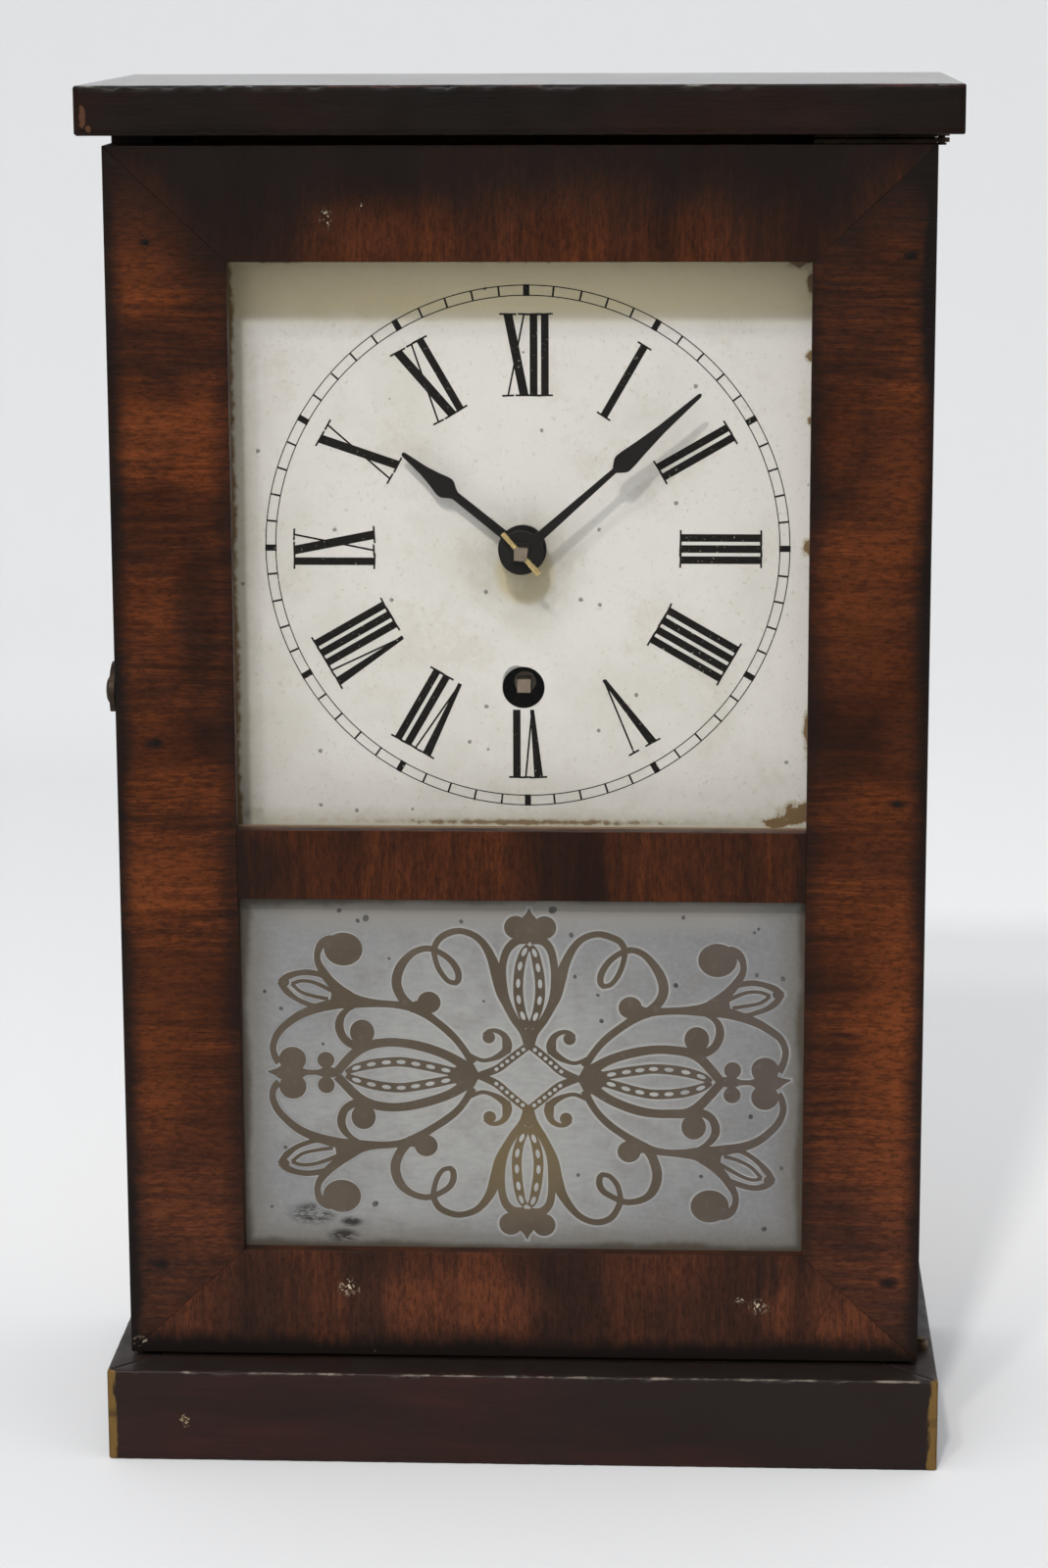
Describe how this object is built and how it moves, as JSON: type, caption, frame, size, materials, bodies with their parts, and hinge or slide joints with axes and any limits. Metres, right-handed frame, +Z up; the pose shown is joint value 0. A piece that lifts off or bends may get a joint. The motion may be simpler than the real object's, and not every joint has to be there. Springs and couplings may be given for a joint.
{
  "type": "cottage clock",
  "caption": "Small mantel clock in a wooden case: a hinged door with a clear pane over a painted dial and an ornamented lower tablet, above a plinth; spring-driven movement and pendulum inside.",
  "frame": {"origin": "centre of the clock's bounding box, at the height of the plinth's underside", "axes": "+Z up, the door and dial face -Y, +X to the right as seen from the front"},
  "size_m": [0.1882, 0.0962, 0.305],
  "materials": {
    "dark_wood": "old, nearly black polished mahogany, worn at the edges",
    "mahogany": "cross-grained mahogany veneer under aged shellac",
    "pine": "bare softwood, aged",
    "dial_paint": "cream paint on zinc, stained and worn",
    "brass": "rolled brass, dull",
    "hinge_brass": "brass, tarnished brown",
    "steel": "bright steel, dulled",
    "black_steel": "blued steel gone black",
    "clear_glass": "old clear window glass",
    "frosted_glass": "glass, frosted blue-grey, with a painted traditional scroll ornament"
  },
  "bodies": {
    "case": {"plinth_front": "dark_wood", "plinth_side_left": "dark_wood", "plinth_side_right": "dark_wood", "base_board": "pine", "cornice_board": "dark_wood", "cornice_veneer": "dark_wood", "side_left": "dark_wood", "side_right": "dark_wood", "backboard": "pine", "dial_strips": "pine", "dial": "dial_paint", "movement_cleats": "pine", "movement_screws": "steel", "front_plate": "brass", "back_plate": "brass", "pillars": "brass", "pillar_nuts": "brass", "minute_stud": "steel", "suspension_cock": "brass", "mainspring": "steel", "hinge_plate_top": "hinge_brass", "hinge_plate_bottom": "hinge_brass", "hook_screw": "steel"},
    "door": {"stile_left": "mahogany", "stile_right": "mahogany", "rail_top": "mahogany", "rail_middle": "mahogany", "rail_bottom": "mahogany", "veneer_left": "mahogany", "veneer_right": "mahogany", "veneer_top": "mahogany", "veneer_middle": "mahogany", "veneer_bottom": "mahogany", "dial_glass": "clear_glass", "tablet_glass": "frosted_glass", "glazing_beads_upper": "pine", "glazing_beads_lower": "pine", "hinge_leaf_top": "hinge_brass", "hinge_leaf_bottom": "hinge_brass", "catch_stud": "hinge_brass"},
    "catch_hook": {"catch_hook": "hinge_brass"},
    "minute": {"centre_arbor": "steel", "centre_wheel": "brass", "cannon_pinion": "brass", "minute_hand": "black_steel", "taper_pin": "brass"},
    "hour": {"hour_wheel": "brass", "hour_hand": "black_steel"},
    "minute_wheel": {"minute_wheel": "brass"},
    "great_wheel": {"great_wheel": "brass"},
    "click": {"click": "steel"},
    "winding": {"winding_arbor": "steel", "ratchet_wheel": "steel"},
    "third": {"third_wheel": "brass"},
    "escape": {"escape_wheel": "brass"},
    "verge": {"verge": "steel"},
    "pendulum": {"suspension_spring": "steel", "pendulum_rod": "brass"},
    "bob": {"pendulum_bob": "brass", "rating_nut": "brass"}
  },
  "joints": [
    {"name": "door_swing", "type": "hinge", "parent": "case", "child": "door", "pos_m": [0.09, -0.02625, 0.1573], "axis": [0, 0, 1], "range_deg": [0, 165]},
    {"name": "hook_lift", "type": "hinge", "parent": "case", "child": "catch_hook", "pos_m": [-0.0896, -0.01245, 0.1734], "axis": [-1, 0, 0], "range_deg": [0, 80]},
    {"name": "minute_turn", "type": "hinge", "parent": "case", "child": "minute", "pos_m": [0, -0.00215, 0.204], "axis": [0, 1, 0], "continuous": true},
    {"name": "hour_turn", "type": "hinge", "parent": "case", "child": "hour", "pos_m": [0, -0.02095, 0.204], "axis": [0, 1, 0], "continuous": true},
    {"name": "minute_wheel_turn", "type": "hinge", "parent": "case", "child": "minute_wheel", "pos_m": [0.012, -0.01795, 0.204], "axis": [0, 1, 0], "continuous": true},
    {"name": "great_turn", "type": "hinge", "parent": "case", "child": "great_wheel", "pos_m": [0, -0.00915, 0.1725], "axis": [0, 1, 0], "continuous": true},
    {"name": "third_turn", "type": "hinge", "parent": "case", "child": "third", "pos_m": [-0.01721, -0.00215, 0.21982], "axis": [0, 1, 0], "continuous": true},
    {"name": "escape_turn", "type": "hinge", "parent": "case", "child": "escape", "pos_m": [0, -0.00215, 0.229], "axis": [0, 1, 0], "continuous": true},
    {"name": "winding_turn", "type": "hinge", "parent": "great_wheel", "child": "winding", "pos_m": [0, -0.00915, 0.1725], "axis": [0, 1, 0], "range_deg": [0, 1440]},
    {"name": "click_lift", "type": "hinge", "parent": "great_wheel", "child": "click", "pos_m": [0.01598, -0.01085, 0.17769], "axis": [0, -1, 0], "range_deg": [0, 11]},
    {"name": "pendulum_swing", "type": "hinge", "parent": "case", "child": "pendulum", "pos_m": [0, 0.01555, 0.2434], "axis": [0, 1, 0], "range_deg": [-4, 4]},
    {"name": "verge_rock", "type": "hinge", "parent": "case", "child": "verge", "pos_m": [0, -0.00215, 0.2434], "axis": [0, 1, 0], "range_deg": [-4, 4]},
    {"name": "bob_adjust", "type": "slide", "parent": "pendulum", "child": "bob", "axis": [0, 0, 1], "range_m": [-0.004, 0.005]}
  ],
  "couplings": [
    {"joint": "hour_turn", "follows": "minute_turn", "ratio": 0.083333},
    {"joint": "minute_wheel_turn", "follows": "minute_turn", "ratio": -0.33333},
    {"joint": "great_turn", "follows": "minute_turn", "ratio": -0.13333},
    {"joint": "third_turn", "follows": "minute_turn", "ratio": -11.143},
    {"joint": "escape_turn", "follows": "minute_turn", "ratio": 133.71},
    {"joint": "verge_rock", "follows": "pendulum_swing", "ratio": 1}
  ]
}
